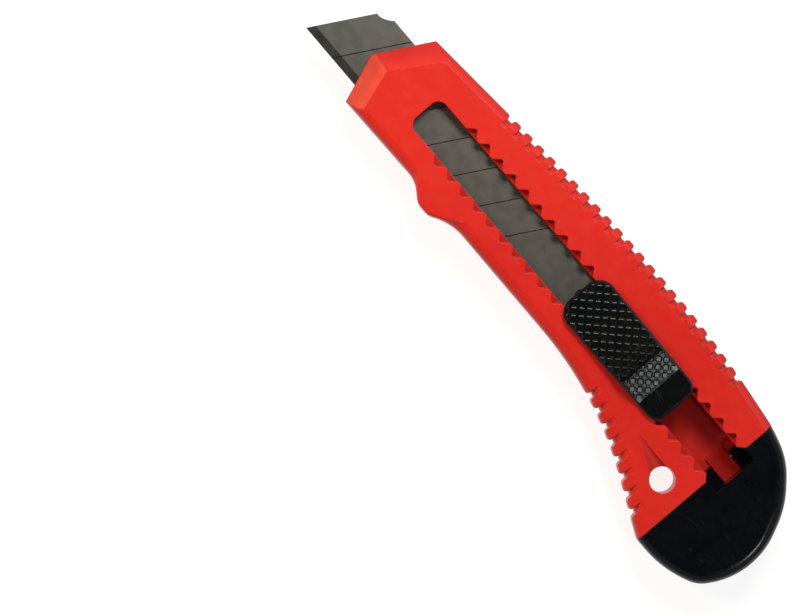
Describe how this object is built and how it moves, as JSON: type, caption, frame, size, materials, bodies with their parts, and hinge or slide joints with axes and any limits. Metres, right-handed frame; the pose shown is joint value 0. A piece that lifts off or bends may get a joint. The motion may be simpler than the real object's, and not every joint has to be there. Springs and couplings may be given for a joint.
{
  "type": "snap-off utility knife",
  "caption": "Utility knife with a moulded handle, a thumb slider on a ratchet slot, a scored snap-off blade and a latched end cap.",
  "frame": {"origin": "on the flat face of the raised back panel, under the centre line of the blade slot, near mid length of the handle", "axes": "+X along the handle towards the blade's tip, +Y towards the cutting edge, +Z out of the face that carries the slider"},
  "size_m": [0.1747, 0.0473, 0.0174],
  "materials": {
    "body": "semi-gloss moulded, red",
    "end_cap": "satin moulded, black",
    "knob": "satin moulded with a knurled grip, black",
    "carrier": "satin moulded, black",
    "spring_steel": "bright rolled strip",
    "blade_steel": "ground, lightly oiled"
  },
  "bodies": {
    "handle": {"body": "body"},
    "cap": {"end_cap": "end_cap"},
    "latch": {"cap_latch": "body"},
    "slider": {"slider_knob": "knob", "detent_spring": "spring_steel", "blade_carrier": "carrier", "blade": "blade_steel"}
  },
  "joints": [
    {"name": "slider_slide", "type": "slide", "parent": "handle", "child": "slider", "axis": [1, 0, 0], "range_m": [-0.025, 0.065], "deforming": ["detent_spring"]},
    {"name": "end_cap_pull", "type": "slide", "parent": "handle", "child": "cap", "axis": [-1, 0, 0], "range_m": [0, 0.035], "deforming": ["cap_latch"]},
    {"name": "cap_latch_flex", "type": "hinge", "parent": "handle", "child": "latch", "pos_m": [-0.05323, 0, 0.003], "axis": [0, 1, 0], "range_deg": [0, 6], "stiffness_Nm_per_rad": 0.3}
  ]
}
